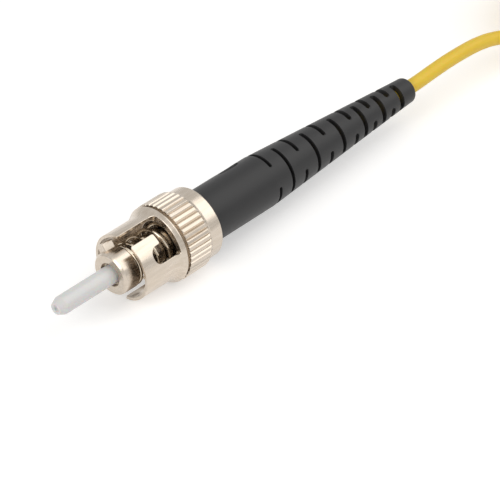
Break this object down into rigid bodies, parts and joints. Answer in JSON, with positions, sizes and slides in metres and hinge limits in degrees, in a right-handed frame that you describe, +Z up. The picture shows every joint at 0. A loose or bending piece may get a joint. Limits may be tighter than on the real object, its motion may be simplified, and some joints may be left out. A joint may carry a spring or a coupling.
{
  "type": "bayonet fibre connector",
  "caption": "Straight-tip bayonet fibre connector: white ceramic ferrule, sprung knurled nut with two bayonet slots, and slotted strain-relief boot on a thin yellow cord.",
  "frame": {"origin": "centre of the ferrule's polished end face", "axes": "+X along the connector from the ferrule's end towards the cord, +Z up, the connector lying on its knurl"},
  "size_m": [0.2074, 0.0188, 0.0109],
  "materials": {
    "zirconia": "white ground ceramic, faintly translucent",
    "glass_fibre": "clear",
    "nickel_plate": "bright nickel plate, warm tint",
    "spring_steel": "drawn wire",
    "washer_steel": "satin",
    "crimp_metal": "satin",
    "buffer_plastic": "smooth",
    "aramid": "fine straight yarn",
    "cord_jacket": "smooth extruded jacket, soft sheen",
    "boot_rubber": "matt moulded",
    "strap_fabric": "brushed loop"
  },
  "bodies": {
    "connector": {"ferrule": "zirconia", "optical_fibre": "glass_fibre", "connector_body": "nickel_plate", "spring": "spring_steel", "retaining_clip": "washer_steel", "crimp_sleeve": "crimp_metal", "tight_buffer": "buffer_plastic", "aramid_yarn": "aramid", "cable_jacket": "cord_jacket", "strain_relief_boot": "boot_rubber", "cord_lead": "cord_jacket", "cord_hank": "cord_jacket", "hank_strap": "strap_fabric", "far_cord_lead": "cord_jacket", "far_ferrule": "zirconia", "far_optical_fibre": "glass_fibre", "far_connector_body": "nickel_plate", "far_spring": "spring_steel", "far_retaining_clip": "washer_steel", "far_crimp_sleeve": "crimp_metal", "far_tight_buffer": "buffer_plastic", "far_aramid_yarn": "aramid", "far_cable_jacket": "cord_jacket", "far_strain_relief_boot": "boot_rubber"},
    "thrust_washer": {"thrust_washer": "washer_steel"},
    "coupling_nut": {"coupling_nut": "nickel_plate"},
    "far_thrust_washer": {"far_thrust_washer": "washer_steel"},
    "far_coupling_nut": {"far_coupling_nut": "nickel_plate"}
  },
  "joints": [
    {"name": "nut_slide", "type": "slide", "parent": "connector", "child": "thrust_washer", "axis": [-1, 0, 0], "range_m": [0, 0.002], "stiffness_N_per_m": 600, "springref_m": -0.004, "deforming": ["spring"]},
    {"name": "nut_turn", "type": "hinge", "parent": "thrust_washer", "child": "coupling_nut", "pos_m": [0.0196, 0, 0], "axis": [1, 0, 0], "continuous": true},
    {"name": "far_nut_slide", "type": "slide", "parent": "connector", "child": "far_thrust_washer", "axis": [1, 0, 0], "range_m": [0, 0.002], "stiffness_N_per_m": 600, "springref_m": -0.004, "deforming": ["far_spring"]},
    {"name": "far_nut_turn", "type": "hinge", "parent": "far_thrust_washer", "child": "far_coupling_nut", "pos_m": [0.1878, -0.003, 0], "axis": [-1, 0, 0], "continuous": true}
  ]
}
